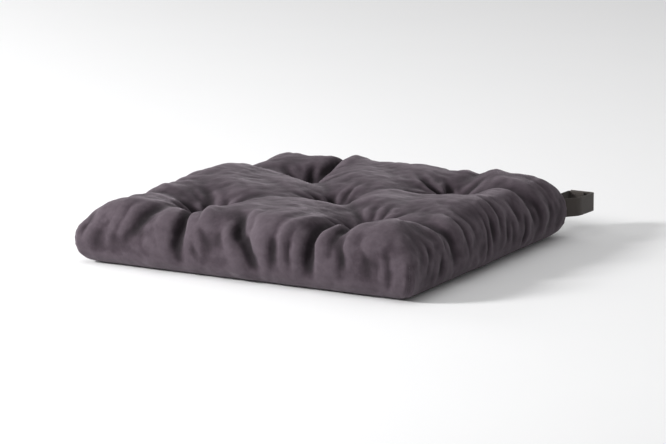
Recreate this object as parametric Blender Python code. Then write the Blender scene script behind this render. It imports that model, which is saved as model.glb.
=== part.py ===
"""Tufted chair seat pad with hook-and-loop tabs for the chair's two back posts.

Metres, +Z up, +Y towards the chair's back. Everything is drawn from the middle of the
seat area and hung on one empty, which centres the whole object on the origin.
"""
import math

import bmesh
import bpy
from mathutils import Matrix, Vector

# Cover: a trapezoid with rounded corners, widest at the front.
FRONT_WIDTH = 0.400
REAR_WIDTH = 0.350
PAD_DEPTH = 0.380
CROWN_HEIGHT = 0.068      # top of the filled lobes
WIDEST_HEIGHT = 0.030     # height at which the sides stand out furthest
CORNER_RADIUS = 0.020
SHOULDER = 0.050          # width of the rounding along the top edge
UNDERCUT = 0.016          # the base seam lies this far inside the widest line
SEAM_LIFT = 0.0025        # the base seam stands this far off the seat
SEAM_RISE_WIDTH = 0.010   # width over which the underside rises to the seam
CLOTH = 0.0012
GAP = 0.0003              # clearance between pieces that touch
CLOSING_WIDTH = 0.150     # the opening in the rear seam, sewn shut by hand

# Filling: wadding, foam, wadding, as shares of the thickness inside the cover.
LOWER_WADDING_SHARE = 0.15
UPPER_WADDING_SHARE = 0.18
FILL_UNDERCUT = 0.026

# Tufts: one in the middle, two in front, two behind.
TUFT_FRONT_X = 0.095
TUFT_REAR_X = 0.090
TUFT_Y = 0.095
TUFT_TOP_DEPTH = 0.026
TUFT_TOP_RADIUS = 0.058
TUFT_BASE_DEPTH = 0.009
TUFT_BASE_RADIUS = 0.032
TUFT_FLAT = 0.008
TUFT_HOLE = 0.004
TUFT_THREAD = 0.0024
TACK_LENGTH = 0.012
TACK_THICKNESS = 0.0012

# Sewing thread along the seams.
SEAM_THREAD_RADIUS = 0.0003
SEAM_THREAD_OUTSET = 0.0008
STITCH_THICKNESS = 0.0005

# Tabs: each pair closes round a back post behind the pad's rear corner.
POST_WIDTH = 0.024
POST_DEPTH = 0.038
POST_INSET = 0.005        # the post's middle lies this far inside the rear corner
POST_GAP = 0.002          # between the pad's rear edge and the post
POST_SLACK = 0.001        # between the post and the tabs
TAB_THICKNESS = 0.0015
TAB_WIDTH = 0.020
TAB_HEIGHT = 0.030        # height of the tabs' middle line
TAB_BEND_RADIUS = 0.003
TAB_FOLD_SPACE = 0.0011   # from a fold's axis to the cloth on each side of it
OUTER_BEND_SETBACK = 0.0015
ROOT_OUTSET = 0.00175
TACK_RADIUS = 0.0007
PATCH_THICKNESS = 0.0012
PATCH_LENGTH = 0.0155
PATCH_MARGIN = 0.0015
STITCH_MARGIN = 0.0015
STITCH_BAND = 0.0008

# Blank label, caught in the rear seam.
LABEL_WIDTH = 0.018
LABEL_LENGTH = 0.030
LABEL_THICKNESS = 0.0006
LABEL_X = -0.100
LABEL_CLEARANCE = 0.0009  # under the label, and between it and the seam's thread

HALF_DEPTH = PAD_DEPTH / 2
CORNER_POWER = math.log(2) / -math.log(1 - (1 - math.sqrt(0.5)) * CORNER_RADIUS / HALF_DEPTH)
SHOULDER_LINES = (0.40, 0.72, 0.92, 1.0)
SIDE_ANGLES = (25, 50, 72, 90)
CREASE_ANGLE = math.radians(35)

POST_X = REAR_WIDTH / 2 - POST_INSET
POST_FRONT = HALF_DEPTH + POST_GAP
OUTER_X = POST_X + POST_WIDTH / 2 + POST_SLACK + TAB_THICKNESS / 2
INNER_X = POST_X - POST_WIDTH / 2 - POST_SLACK - TAB_THICKNESS / 2
LOOP_Y = POST_FRONT + POST_DEPTH + POST_SLACK + TAB_THICKNESS / 2
HOOK_Y = LOOP_Y + TAB_THICKNESS + 2 * PATCH_THICKNESS + 3 * GAP
REACH = HOOK_Y + TAB_THICKNESS / 2 + GAP + STITCH_THICKNESS
PAD_MIDDLE = Vector((0, (HALF_DEPTH - REACH) / 2, 0))


# ---------------------------------------------------------------- shared helpers

def material(name, colour, roughness):
    """A Principled material with one colour."""
    made = bpy.data.materials.get(name) or bpy.data.materials.new(name)
    made.use_nodes = True
    shader = made.node_tree.nodes["Principled BSDF"]
    shader.inputs["Base Color"].default_value = (*colour, 1)
    shader.inputs["Roughness"].default_value = roughness
    shader.inputs["Metallic"].default_value = 0
    made.diffuse_color = (*colour, 1)
    return made


def hang(obj, finish, pivot=(0, 0, 0)):
    """Give the object its material and hang it on the pad's middle at its pivot."""
    obj.data.materials.append(material(*finish))
    obj.parent = PAD_EMPTY
    obj.location = pivot
    return obj


def piece(name, bm, finish, pivot=(0, 0, 0)):
    """Turn a bmesh drawn in pad coordinates into an object whose origin is its pivot."""
    bmesh.ops.recalc_face_normals(bm, faces=bm.faces[:])
    bmesh.ops.translate(bm, verts=bm.verts[:], vec=-Vector(pivot))
    mesh = bpy.data.meshes.new(name)
    bm.to_mesh(mesh)
    bm.free()
    mesh.shade_smooth()
    mesh.set_sharp_from_angle(angle=CREASE_ANGLE)
    obj = bpy.data.objects.new(name, mesh)
    bpy.context.collection.objects.link(obj)
    return hang(obj, finish, pivot)


def thread(name, points, finish):
    """A thin four-sided thread along a path."""
    curve = bpy.data.curves.new(name, "CURVE")
    curve.dimensions = "3D"
    curve.bevel_depth = SEAM_THREAD_RADIUS
    curve.bevel_resolution = 0
    curve.use_fill_caps = True
    spline = curve.splines.new("POLY")
    spline.points.add(len(points) - 1)
    for spot, point in zip(spline.points, points):
        spot.co = (*point, 1)
    obj = bpy.data.objects.new(name, curve)
    bpy.context.collection.objects.link(obj)
    return hang(obj, finish)


def block(name, low, high, finish, pivot=(0, 0, 0)):
    """A plain block between two corners."""
    low, high = Vector(low), Vector(high)
    bm = bmesh.new()
    bmesh.ops.create_cube(bm, size=1)
    bmesh.ops.scale(bm, vec=high - low, verts=bm.verts[:])
    bmesh.ops.translate(bm, vec=(low + high) / 2, verts=bm.verts[:])
    return piece(name, bm, finish, pivot)


def mix(low, high, share):
    return low + (high - low) * share


COVER = ("cover cloth", (0.105, 0.086, 0.098), 0.85)
UNDERSIDE = ("underside cloth", (0.092, 0.078, 0.087), 0.9)
COVER_THREAD = ("cover thread", (0.07, 0.057, 0.065), 0.7)
FOAM = ("foam", (0.78, 0.74, 0.60), 0.95)
WADDING = ("wadding", (0.85, 0.85, 0.83), 0.98)
TAPE = ("tab tape", (0.052, 0.043, 0.040), 0.85)
HOOK = ("hook patch", (0.020, 0.018, 0.019), 0.6)
LOOP = ("loop patch", (0.030, 0.026, 0.027), 0.98)
LABEL = ("label", (0.75, 0.74, 0.71), 0.7)

for old in list(bpy.data.objects):
    bpy.data.objects.remove(old, do_unlink=True)
PAD_EMPTY = bpy.data.objects.new("pad_middle", None)
PAD_EMPTY.location = PAD_MIDDLE
bpy.context.collection.objects.link(PAD_EMPTY)


# ---------------------------------------------------------------- the pad's form

def half_width(y, inset=0.0):
    return mix(FRONT_WIDTH, REAR_WIDTH, (y + HALF_DEPTH) / PAD_DEPTH) / 2 - inset


def grid_lines(tuft, edge):
    """Distances of the grid's lines from the middle: close pairs run through the tufts."""
    lines = [TUFT_HOLE / 2, TUFT_FLAT, tuft / 2, tuft - TUFT_FLAT, tuft - TUFT_HOLE / 2,
             tuft + TUFT_HOLE / 2, tuft + TUFT_FLAT]
    lines += [mix(tuft + TUFT_FLAT, edge, share) for share in SHOULDER_LINES]
    return [-line for line in reversed(lines)] + lines


LINES = len(grid_lines(TUFT_Y, HALF_DEPTH))
FRONT_TUFT, MIDDLE_TUFT, REAR_TUFT = 5, LINES // 2 - 1, LINES - 7
TUFT_CELLS = {
    "front_left": (FRONT_TUFT, FRONT_TUFT), "front_right": (REAR_TUFT, FRONT_TUFT),
    "center": (MIDDLE_TUFT, MIDDLE_TUFT),
    "rear_left": (FRONT_TUFT, REAR_TUFT), "rear_right": (REAR_TUFT, REAR_TUFT),
}
TUFT_SPOTS = {
    "front_left": (-TUFT_FRONT_X, -TUFT_Y), "front_right": (TUFT_FRONT_X, -TUFT_Y),
    "center": (0, 0),
    "rear_left": (-TUFT_REAR_X, TUFT_Y), "rear_right": (TUFT_REAR_X, TUFT_Y),
}


def square_point(column, row, inset):
    """A grid crossing, before the pad's corners are rounded."""
    y = grid_lines(TUFT_Y, HALF_DEPTH - inset)[row]
    tuft_x = mix(TUFT_FRONT_X, TUFT_REAR_X, (y / TUFT_Y + 1) / 2)
    return grid_lines(tuft_x, half_width(y, inset))[column], y


def plan_point(column, row, inset):
    """A grid crossing with the corners rounded."""
    x, y = square_point(column, row, inset)
    across, along = abs(x) / half_width(y, inset), abs(y) / (HALF_DEPTH - inset)
    reach = max(across, along)
    rounded = (across ** CORNER_POWER + along ** CORNER_POWER) ** (1 / CORNER_POWER)
    pull = 1 - (1 - reach / rounded) * reach ** 8
    return x * pull, y * pull


def shoulder(column, row, inset, width):
    """0 at the widest line, rising on a quarter round to 1 at the given width inside it."""
    x, y = square_point(column, row, inset)
    rise = 1.0
    for distance in (half_width(y, inset) - abs(x), HALF_DEPTH - inset - abs(y)):
        share = min(max(distance / width, 0), 1)
        rise *= math.sqrt(1 - (1 - share) ** 2)
    return rise


def dimples(x, y, depth, radius):
    """How far the tufts draw the cloth in at a point."""
    drawn = 0.0
    for tuft_x, tuft_y in TUFT_SPOTS.values():
        away = (math.hypot(x - tuft_x, y - tuft_y) - TUFT_FLAT) / (radius - TUFT_FLAT)
        drawn = max(drawn, depth * (1 + math.cos(math.pi * min(max(away, 0), 1))) / 2)
    return drawn


def top_point(column, row, inset):
    """A point of the top face; inset is how far inside the cover's outer face it lies."""
    x, y = plan_point(column, row, inset)
    rise = CROWN_HEIGHT - inset - WIDEST_HEIGHT
    z = WIDEST_HEIGHT + rise * shoulder(column, row, inset, SHOULDER)
    return Vector((x, y, z - dimples(x, y, TUFT_TOP_DEPTH, TUFT_TOP_RADIUS)))


def side_point(column, row, angle, inset):
    """A point of the lower side wall, from the widest line (0 degrees) to the seam (90)."""
    turn = math.radians(angle)
    x, y = plan_point(column, row, inset * math.cos(turn) + UNDERCUT * (1 - math.cos(turn)))
    z = mix(WIDEST_HEIGHT, SEAM_LIFT + inset, math.sin(turn))
    return Vector((x, y, z))


def underside_point(column, row, lift):
    """A point of the underside, which lies flat and rises to the seam and at the tufts."""
    x, y = plan_point(column, row, UNDERCUT + GAP)
    square_x, square_y = square_point(column, row, UNDERCUT + GAP)
    edge = min(half_width(square_y, UNDERCUT + GAP) - abs(square_x),
               HALF_DEPTH - UNDERCUT - GAP - abs(square_y))
    rise = SEAM_LIFT * (1 - min(max(edge / SEAM_RISE_WIDTH, 0), 1)) ** 2
    return Vector((x, y, lift + rise + dimples(x, y, TUFT_BASE_DEPTH, TUFT_BASE_RADIUS)))


def fill_point(column, row, share, trim):
    """A point inside the cover, at a share of the height between underside and top."""
    top = top_point(column, row, CLOTH)
    x, y = top.x, top.y
    low = CLOTH + 2 * GAP + dimples(x, y, TUFT_BASE_DEPTH, TUFT_BASE_RADIUS + UNDERCUT)
    low += (WIDEST_HEIGHT - CLOTH) * (1 - shoulder(column, row, CLOTH, FILL_UNDERCUT))
    high = top.z - 2 * GAP
    return Vector((x, y, mix(low, high, share) + trim))


def pad_sheet(skipped_lines=0):
    """A flat grid sheet whose points know their column and row, with a cell out per tuft."""
    bm = bmesh.new()
    bmesh.ops.create_grid(bm, x_segments=LINES - 1, y_segments=LINES - 1, size=0.5)
    column = bm.verts.layers.int.new("column")
    row = bm.verts.layers.int.new("row")
    bm.verts.layers.int.new("ring")
    for vert in bm.verts:
        vert[column] = round((vert.co.x + 0.5) * (LINES - 1))
        vert[row] = round((vert.co.y + 0.5) * (LINES - 1))
    last = LINES - 1 - skipped_lines
    out = [face for face in bm.faces
           if (min(v[column] for v in face.verts), min(v[row] for v in face.verts))
           in TUFT_CELLS.values()]
    out += [face for face in bm.faces
            if min(min(v[column], v[row]) for v in face.verts) < skipped_lines
            or max(max(v[column], v[row]) for v in face.verts) > last]
    bmesh.ops.delete(bm, geom=out, context="FACES")
    return bm


def thicken(bm, outside, inside):
    """Give a sheet its thickness: its points go outside, and their copies inside."""
    column, row = bm.verts.layers.int["column"], bm.verts.layers.int["row"]
    ring = bm.verts.layers.int["ring"]
    first = bm.verts[:]
    grown = bmesh.ops.extrude_face_region(bm, geom=bm.faces[:])["geom"]
    for vert in first:
        vert.co = outside(vert[column], vert[row], vert[ring])
    for vert in (part for part in grown if isinstance(part, bmesh.types.BMVert)):
        vert.co = inside(vert[column], vert[row], vert[ring])


# ---------------------------------------------------------------- cover

def cover_top_panel():
    """Top and side walls in one cut, turned under to the base seam."""
    bm = pad_sheet()
    column, row = bm.verts.layers.int["column"], bm.verts.layers.int["row"]
    ring = bm.verts.layers.int["ring"]
    edge_lines = (0, LINES - 1)
    rim = [edge for edge in bm.edges if edge.is_boundary and any(
        edge.verts[0][axis] == edge.verts[1][axis] and edge.verts[0][axis] in edge_lines
        for axis in (column, row))]
    for number in range(1, len(SIDE_ANGLES) + 1):
        made = bmesh.ops.extrude_edge_only(bm, edges=rim)["geom"]
        rim = [part for part in made if isinstance(part, bmesh.types.BMEdge)]
        for vert in (part for part in made if isinstance(part, bmesh.types.BMVert)):
            vert[ring] = number

    def skin(inset):
        def spot(col, line, number):
            if number:
                return side_point(col, line, SIDE_ANGLES[number - 1], inset)
            return top_point(col, line, inset)
        return spot

    thicken(bm, skin(0.0), skin(CLOTH))
    return piece("cover_top_panel", bm, COVER)


def cover_bottom_panel():
    """Flat underside, sewn to the turned-under edge of the top panel."""
    bm = pad_sheet()
    thicken(bm, lambda col, line, _: underside_point(col, line, 0.0),
            lambda col, line, _: underside_point(col, line, CLOTH))
    return piece("cover_bottom_panel", bm, UNDERSIDE)


def rim_path(inset, z):
    """The closed line of the pad's outline, from the rear middle round by the right."""
    last = LINES - 1
    crossings = [(column, last) for column in range(LINES // 2, LINES)]
    crossings += [(last, line) for line in range(last - 1, -1, -1)]
    crossings += [(column, 0) for column in range(last - 1, -1, -1)]
    crossings += [(0, line) for line in range(1, LINES)]
    crossings += [(column, last) for column in range(1, LINES // 2)]
    return [Vector((*plan_point(column, line, inset), z)) for column, line in crossings]


def seam_threads():
    """The base seam's thread, open at the rear, and the hand stitching that closes it."""
    inset = UNDERCUT + GAP / 2
    z = SEAM_LIFT - GAP - SEAM_THREAD_RADIUS
    half = CLOSING_WIDTH / 2
    y = HALF_DEPTH - inset
    sewn = [point for point in rim_path(inset, z) if abs(point.x) > half or point.y < 0]
    ends = [Vector((side * half, y, z)) for side in (1, -1)]
    thread("base_seam_thread", [ends[0], *sewn, ends[1]], COVER_THREAD)
    stop = half - 2 * SEAM_THREAD_RADIUS - GAP
    thread("rear_closing_stitch", [(-stop, y, z), (stop, y, z)], COVER_THREAD)


def corner_threads():
    """The thread of the four boxed corners, from the base seam up to the shoulder."""
    last = LINES - 1
    corners = {"front_left": (0, 0), "front_right": (last, 0),
               "rear_left": (0, last), "rear_right": (last, last)}
    for name, (column, row) in corners.items():
        path = [side_point(column, row, angle, -SEAM_THREAD_OUTSET)
                for angle in reversed(SIDE_ANGLES[:-1])]
        path.append(top_point(column, row, -SEAM_THREAD_OUTSET))
        path.append(top_point(abs(column - 1), abs(row - 1), -SEAM_THREAD_OUTSET))
        thread("corner_thread_" + name, path, COVER_THREAD)


def care_label():
    """A blank label, caught in the rear seam, that sticks out behind the pad."""
    front = HALF_DEPTH - UNDERCUT + LABEL_CLEARANCE
    low = (LABEL_X - LABEL_WIDTH / 2, front, LABEL_CLEARANCE)
    high = (LABEL_X + LABEL_WIDTH / 2, front + LABEL_LENGTH, LABEL_CLEARANCE + LABEL_THICKNESS)
    block("care_label", low, high, LABEL)


# ---------------------------------------------------------------- filling

def filling():
    """Lower wadding, foam slab and upper wadding, stacked inside the cover."""
    foam_low, foam_high = LOWER_WADDING_SHARE, 1 - UPPER_WADDING_SHARE
    layers = (("lower_wadding", 0, foam_low, WADDING), ("foam_core", foam_low, foam_high, FOAM),
              ("upper_wadding", foam_high, 1, WADDING))
    for name, low, high, finish in layers:
        bm = pad_sheet(skipped_lines=1)
        thicken(bm, lambda col, line, _: fill_point(col, line, high, -GAP / 2),
                lambda col, line, _: fill_point(col, line, low, GAP / 2))
        piece(name, bm, finish)


# ---------------------------------------------------------------- tufts

def tuft_thread(name, x, y):
    """A doubled thread through the pad, held by a bar tack in the dimple on each face."""
    low = TUFT_BASE_DEPTH - GAP - TACK_THICKNESS
    high = CROWN_HEIGHT - TUFT_TOP_DEPTH + GAP + TACK_THICKNESS
    half = TUFT_THREAD / 2
    bm = bmesh.new()
    bmesh.ops.create_cube(bm, size=1)
    bmesh.ops.scale(bm, vec=(TUFT_THREAD, TUFT_THREAD, high - low), verts=bm.verts[:])
    bmesh.ops.translate(bm, vec=(x, y, (low + high) / 2), verts=bm.verts[:])
    for z in (low + TACK_THICKNESS, high - TACK_THICKNESS):
        bmesh.ops.bisect_plane(bm, geom=bm.verts[:] + bm.edges[:] + bm.faces[:],
                               plane_co=(x, y, z), plane_no=(0, 0, 1))
    for side in (1, -1):
        ends = [face for face in bm.faces
                if abs(face.calc_center_median().x - x - side * half) < GAP / 10
                and not low + TACK_THICKNESS < face.calc_center_median().z < high - TACK_THICKNESS]
        for end in ends:
            grown = bmesh.ops.extrude_face_region(bm, geom=[end])["geom"]
            bmesh.ops.translate(bm, vec=(side * (TACK_LENGTH / 2 - half), 0, 0),
                                verts=[v for v in grown if isinstance(v, bmesh.types.BMVert)])
            bmesh.ops.delete(bm, geom=[end], context="FACES_ONLY")
    piece("tuft_thread_" + name, bm, COVER_THREAD)


# ---------------------------------------------------------------- tabs

def tape(name, path, finish, pivot):
    """A flat tape on edge that follows a path in plan, mitred at each of its points."""
    path = [Vector(point) for point in path]
    offsets = []
    for place, point in enumerate(path):
        before = (point - path[place - 1]).normalized() if place else None
        after = (path[place + 1] - point).normalized() if place + 1 < len(path) else before
        before = before or after
        normal = Vector((-before.y - after.y, before.x + after.x)).normalized()
        lean = normal.dot(Vector((-after.y, after.x)))
        offsets.append(normal * (TAB_THICKNESS / 2 / lean))
    outline = [p + o for p, o in zip(path, offsets)]
    outline += [p - o for p, o in zip(reversed(path), reversed(offsets))]
    bm = bmesh.new()
    low = TAB_HEIGHT - TAB_WIDTH / 2
    flat = bm.faces.new([bm.verts.new((*point, low)) for point in outline])
    grown = bmesh.ops.extrude_face_region(bm, geom=[flat])["geom"]
    bmesh.ops.translate(bm, vec=(0, 0, TAB_WIDTH),
                        verts=[v for v in grown if isinstance(v, bmesh.types.BMVert)])
    return piece(name, bm, finish, (*pivot, 0))


def rounded(before, corner, after, radius, steps=4):
    """Points of a round bend between two straight stretches that meet at a corner."""
    before, corner, after = Vector(before), Vector(corner), Vector(after)
    to_before, to_after = (before - corner).normalized(), (after - corner).normalized()
    half = to_before.angle(to_after) / 2
    middle = corner + (to_before + to_after).normalized() * (radius / math.sin(half))
    start = corner + to_before * (radius / math.tan(half)) - middle
    end = corner + to_after * (radius / math.tan(half)) - middle
    turn = start.angle_signed(end)
    return [middle + Matrix.Rotation(-turn * step / steps, 2) @ start for step in range(steps + 1)]


def stitch_ring(name, low, high, finish, pivot):
    """A rectangle of topstitching, flat in Y, between two corners."""
    low, high = Vector(low), Vector(high)
    bm = bmesh.new()
    bmesh.ops.create_grid(bm, x_segments=3, y_segments=3, size=1.5)
    inner = [face for face in bm.faces if face.calc_center_median().length < 0.1]
    bmesh.ops.delete(bm, geom=inner, context="FACES")
    half = Vector((high.x - low.x, high.z - low.z)) / 2
    for vert in bm.verts:
        across = [math.copysign(size if abs(place) > 1 else size - STITCH_BAND, place)
                  for place, size in zip(vert.co[:2], half)]
        middle = (low + high) / 2
        vert.co = (middle.x + across[0], low.y, middle.z + across[1])
    grown = bmesh.ops.extrude_face_region(bm, geom=bm.faces[:])["geom"]
    bmesh.ops.translate(bm, vec=(0, high.y - low.y, 0),
                        verts=[v for v in grown if isinstance(v, bmesh.types.BMVert)])
    return piece(name, bm, finish, (*pivot, 0))


def root_tack(name, spot):
    """A column of dense thread that holds a tab's root and about which the tab folds."""
    bm = bmesh.new()
    bmesh.ops.create_cone(bm, cap_ends=True, segments=8, radius1=TACK_RADIUS,
                          radius2=TACK_RADIUS, depth=TAB_WIDTH)
    bmesh.ops.translate(bm, vec=(*spot, TAB_HEIGHT), verts=bm.verts[:])
    return piece(name, bm, COVER_THREAD)


def ordered(first, second):
    """The low and high corners of the box that two corners span."""
    return [min(pair) for pair in zip(first, second)], [max(pair) for pair in zip(first, second)]


def rear_wall(x):
    """Where the cover's rear wall stands at a distance from the middle line."""
    spots = [plan_point(column, LINES - 1, 0.0) for column in range(LINES // 2, LINES)]
    for (x0, y0), (x1, y1) in zip(spots, spots[1:]):
        if x0 <= x <= x1:
            return mix(y0, y1, (x - x0) / (x1 - x0))
    return spots[-1][1]


def tab_pair(side, word):
    """The two tabs at one rear corner: side is 1 on the right and -1 on the left."""
    low, high = TAB_HEIGHT - TAB_WIDTH / 2, TAB_HEIGHT + TAB_WIDTH / 2
    patch_low, patch_high = low + PATCH_MARGIN, high - PATCH_MARGIN
    patch_start = INNER_X + TAB_THICKNESS / 2 + PATCH_MARGIN
    patch_end = patch_start + PATCH_LENGTH

    def at(x, y):
        return Vector((side * x, y))

    def slab(name, y, thickness, inset, finish, pivot, maker):
        ends = ordered((side * (patch_start + inset), y, patch_low + inset),
                       (side * (patch_end - inset), y + thickness, patch_high - inset))
        maker(name, *ends, finish, pivot)

    # Outer tab: from the corner seam, along the post's outer side, then behind the post.
    root = at(*plan_point(LINES - 1, LINES - 1, -ROOT_OUTSET))
    corner = at(OUTER_X, HALF_DEPTH - OUTER_BEND_SETBACK)
    fold = at(OUTER_X, HOOK_Y)
    start = root + (corner - root).normalized() * TAB_FOLD_SPACE
    run_end = fold - Vector((0, TAB_FOLD_SPACE))
    run = [start, *rounded(start, corner, run_end, TAB_BEND_RADIUS), run_end]
    tape(word + "_hook_strap_run", run, TAPE, root)
    root_tack(word + "_hook_root_tack", root)

    end_start = fold - at(TAB_FOLD_SPACE, 0)
    tape(word + "_hook_strap_end", [end_start, at(INNER_X, HOOK_Y)], TAPE, fold)
    hook_face = HOOK_Y - TAB_THICKNESS / 2 - GAP
    slab(word + "_hook_patch", hook_face - PATCH_THICKNESS, PATCH_THICKNESS, 0, HOOK, (*fold, 0),
         block)
    slab(word + "_hook_stitching", HOOK_Y + TAB_THICKNESS / 2 + GAP, STITCH_THICKNESS,
         STITCH_MARGIN, COVER_THREAD, fold, stitch_ring)

    # Inner tab: from the rear wall, along the post's inner side, then behind the post.
    inner_root = at(INNER_X, rear_wall(INNER_X) + GAP + TACK_RADIUS)
    inner_corner, tip = at(INNER_X, LOOP_Y), at(patch_end, LOOP_Y)
    inner_start = inner_root + Vector((0, TAB_FOLD_SPACE))
    bend = rounded(inner_start, inner_corner, tip, TAB_BEND_RADIUS / 2)
    tape(word + "_loop_strap", [inner_start, *bend, tip], TAPE, inner_root)
    root_tack(word + "_loop_root_tack", inner_root)
    loop_face = LOOP_Y + TAB_THICKNESS / 2 + GAP
    slab(word + "_loop_patch", loop_face, PATCH_THICKNESS, 0, LOOP, (*inner_root, 0), block)
    slab(word + "_loop_stitching", LOOP_Y - TAB_THICKNESS / 2 - GAP - STITCH_THICKNESS,
         STITCH_THICKNESS, STITCH_MARGIN, COVER_THREAD, inner_root, stitch_ring)


cover_top_panel()
cover_bottom_panel()
seam_threads()
corner_threads()
care_label()
filling()
for tuft_name, tuft_spot in TUFT_SPOTS.items():
    tuft_thread(tuft_name, *tuft_spot)
for tab_side, tab_word in ((-1, "left"), (1, "right")):
    tab_pair(tab_side, tab_word)
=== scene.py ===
import math
import random

import bmesh
import bpy
import numpy as np
from mathutils import Matrix, Vector, noise
from mathutils.bvhtree import BVHTree


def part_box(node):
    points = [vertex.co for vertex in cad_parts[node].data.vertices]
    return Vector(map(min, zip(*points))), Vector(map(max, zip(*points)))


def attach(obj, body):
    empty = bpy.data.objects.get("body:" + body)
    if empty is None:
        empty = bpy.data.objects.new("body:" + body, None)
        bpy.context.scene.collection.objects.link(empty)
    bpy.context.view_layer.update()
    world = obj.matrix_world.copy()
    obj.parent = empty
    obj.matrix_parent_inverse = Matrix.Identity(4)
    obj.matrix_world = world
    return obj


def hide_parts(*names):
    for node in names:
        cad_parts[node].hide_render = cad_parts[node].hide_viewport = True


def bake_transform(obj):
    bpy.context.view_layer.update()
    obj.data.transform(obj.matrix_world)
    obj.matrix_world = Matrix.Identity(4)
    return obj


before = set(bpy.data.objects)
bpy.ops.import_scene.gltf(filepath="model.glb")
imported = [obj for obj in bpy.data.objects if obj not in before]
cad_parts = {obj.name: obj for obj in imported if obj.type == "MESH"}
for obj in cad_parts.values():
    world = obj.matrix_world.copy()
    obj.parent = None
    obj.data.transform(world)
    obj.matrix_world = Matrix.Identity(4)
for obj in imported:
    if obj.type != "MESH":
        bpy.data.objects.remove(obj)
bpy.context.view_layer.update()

scene = bpy.context.scene


# Floor and light. The pad lies on a plain pale floor that runs out of sight.
# A soft light stands at its front left, a wide one hangs above, a low one fills from the left, and a pale
# room does the rest.
FLOOR_PAINT = (0.90, 0.90, 0.905)
PAD_CENTER = Vector((0, -0.02405, 0.030))


class Socket:
    """A shader socket that takes part in sums."""

    def __init__(self, tree, link):
        self.tree, self.link = tree, link

    def make(self, kind, settings=None, out=0, **inputs):
        """Adds a node with its settings and inputs. An input is named, or numbered as i0, i1 and so on."""
        node = self.tree.nodes.new("ShaderNode" + kind)
        for name, value in (settings or {}).items():
            if name == "stops":
                ramp = node.color_ramp
                while len(ramp.elements) < len(value):
                    ramp.elements.new(1)
                for element, (place, tone) in zip(ramp.elements, value):
                    element.position = place
                    element.color = (*tone, 1) if isinstance(tone, tuple) else (tone, tone, tone, 1)
            else:
                setattr(node, name, value)
        for name, value in inputs.items():
            name = int(name[1:]) if name[0] == "i" and name[1:].isdigit() else name.replace("_", " ")
            if isinstance(value, Socket):
                self.tree.links.new(value.link, node.inputs[name])
            else:
                node.inputs[name].default_value = value
        return Socket(self.tree, node.outputs[out])

    def math(self, operation, *others):
        return self.make("Math", {"operation": operation},
                         **{f"i{i}": v for i, v in enumerate((self, *others))})

    def __add__(self, other): return self.math("ADD", other)
    def __mul__(self, other): return self.math("MULTIPLY", other)
    __radd__, __rmul__ = __add__, __mul__

    def mix(self, low, high):
        """A colour that runs from low to high as this value runs from 0 to 1."""
        low, high = ((*c, 1) if isinstance(c, tuple) else c for c in (low, high))
        return self.make("Mix", {"data_type": "RGBA"}, out=2, i0=self, i6=low, i7=high)

    def tint(self, color):
        """This colour times another."""
        return self.make("Mix", {"data_type": "RGBA", "blend_type": "MULTIPLY"}, out=2,
                         i0=1.0, i6=color, i7=self)

    def noise(self, scale, detail=3, rough=0.55):
        return self.make("TexNoise", Vector=self, Scale=scale, Detail=detail, Roughness=rough)

    def bump(self, height, strength, reach):
        return self.make("Bump", Strength=strength, Distance=reach, Height=height)

    def parts(self):
        node = self.tree.nodes.new("ShaderNodeSeparateXYZ")
        self.tree.links.new(self.link, node.inputs[0])
        return [Socket(self.tree, o) for o in node.outputs]


def finish_of(name, paint, **constants):
    """A material whose shader takes the constants, and whatever paint(place, uv) returns."""
    material = bpy.data.materials.new(name)
    material.use_nodes = True
    tree = material.node_tree
    shader = tree.nodes["Principled BSDF"]
    for key, value in constants.items():
        shader.inputs[key.replace("_", " ")].default_value = value
    texture = tree.nodes.new("ShaderNodeTexCoord")
    made = paint(Socket(tree, texture.outputs["Object"]), Socket(tree, texture.outputs["UV"]))
    for key, value in made.items():
        tree.links.new(value.link, shader.inputs[key.replace("_", " ")])
    return material


CREASE = math.radians(70)  # faces that meet at more than this keep a sharp edge


def piece_of(name, bm, material):
    """Turns a finished bmesh into an object at the origin."""
    mesh = bpy.data.meshes.new(name)
    bm.to_mesh(mesh)
    bm.free()
    mesh.materials.append(material)
    mesh.shade_smooth()
    mesh.set_sharp_from_angle(angle=CREASE)
    piece = bpy.data.objects.new(name, mesh)
    scene.collection.objects.link(piece)
    return piece


def floor_paint(place, uv):
    return dict(Base_Color=place.noise(6.0).mix(FLOOR_PAINT, tuple(c * 0.985 for c in FLOOR_PAINT)),
                Normal=place.bump(place.noise(300.0), 0.02, 0.001))


bm = bmesh.new()
bmesh.ops.create_grid(bm, x_segments=4, y_segments=4, size=6.0)
floor = piece_of("floor", bm, finish_of("pale_floor", floor_paint, Roughness=0.6))


def soft_light(name, place, size, power):
    """A square lamp that points at the pad: its side in metres, and its power in watts."""
    lamp = bpy.data.lights.new(name, "AREA")
    lamp.size, lamp.energy = size, power
    holder = bpy.data.objects.new(name, lamp)
    holder.location = place
    holder.rotation_euler = (PAD_CENTER - Vector(place)).to_track_quat("-Z", "Y").to_euler()
    scene.collection.objects.link(holder)


soft_light("front_left_softbox", (-1.75, -1.75, 1.15), 0.55, 88)
soft_light("overhead_softbox", (-0.3, -0.4, 3.2), 2.6, 30)
soft_light("left_window", (-2.7, 0.7, 0.75), 1.3, 26)
ROOM_BRIGHTNESS = 0.40
world = bpy.data.worlds.new("pale_room")
world.use_nodes = True
background = world.node_tree.nodes["Background"]
background.inputs["Color"].default_value = (1, 1, 1, 1)
background.inputs["Strength"].default_value = ROOM_BRIGHTNESS
scene.world = world
scene.view_settings.view_transform = "Standard"


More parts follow.
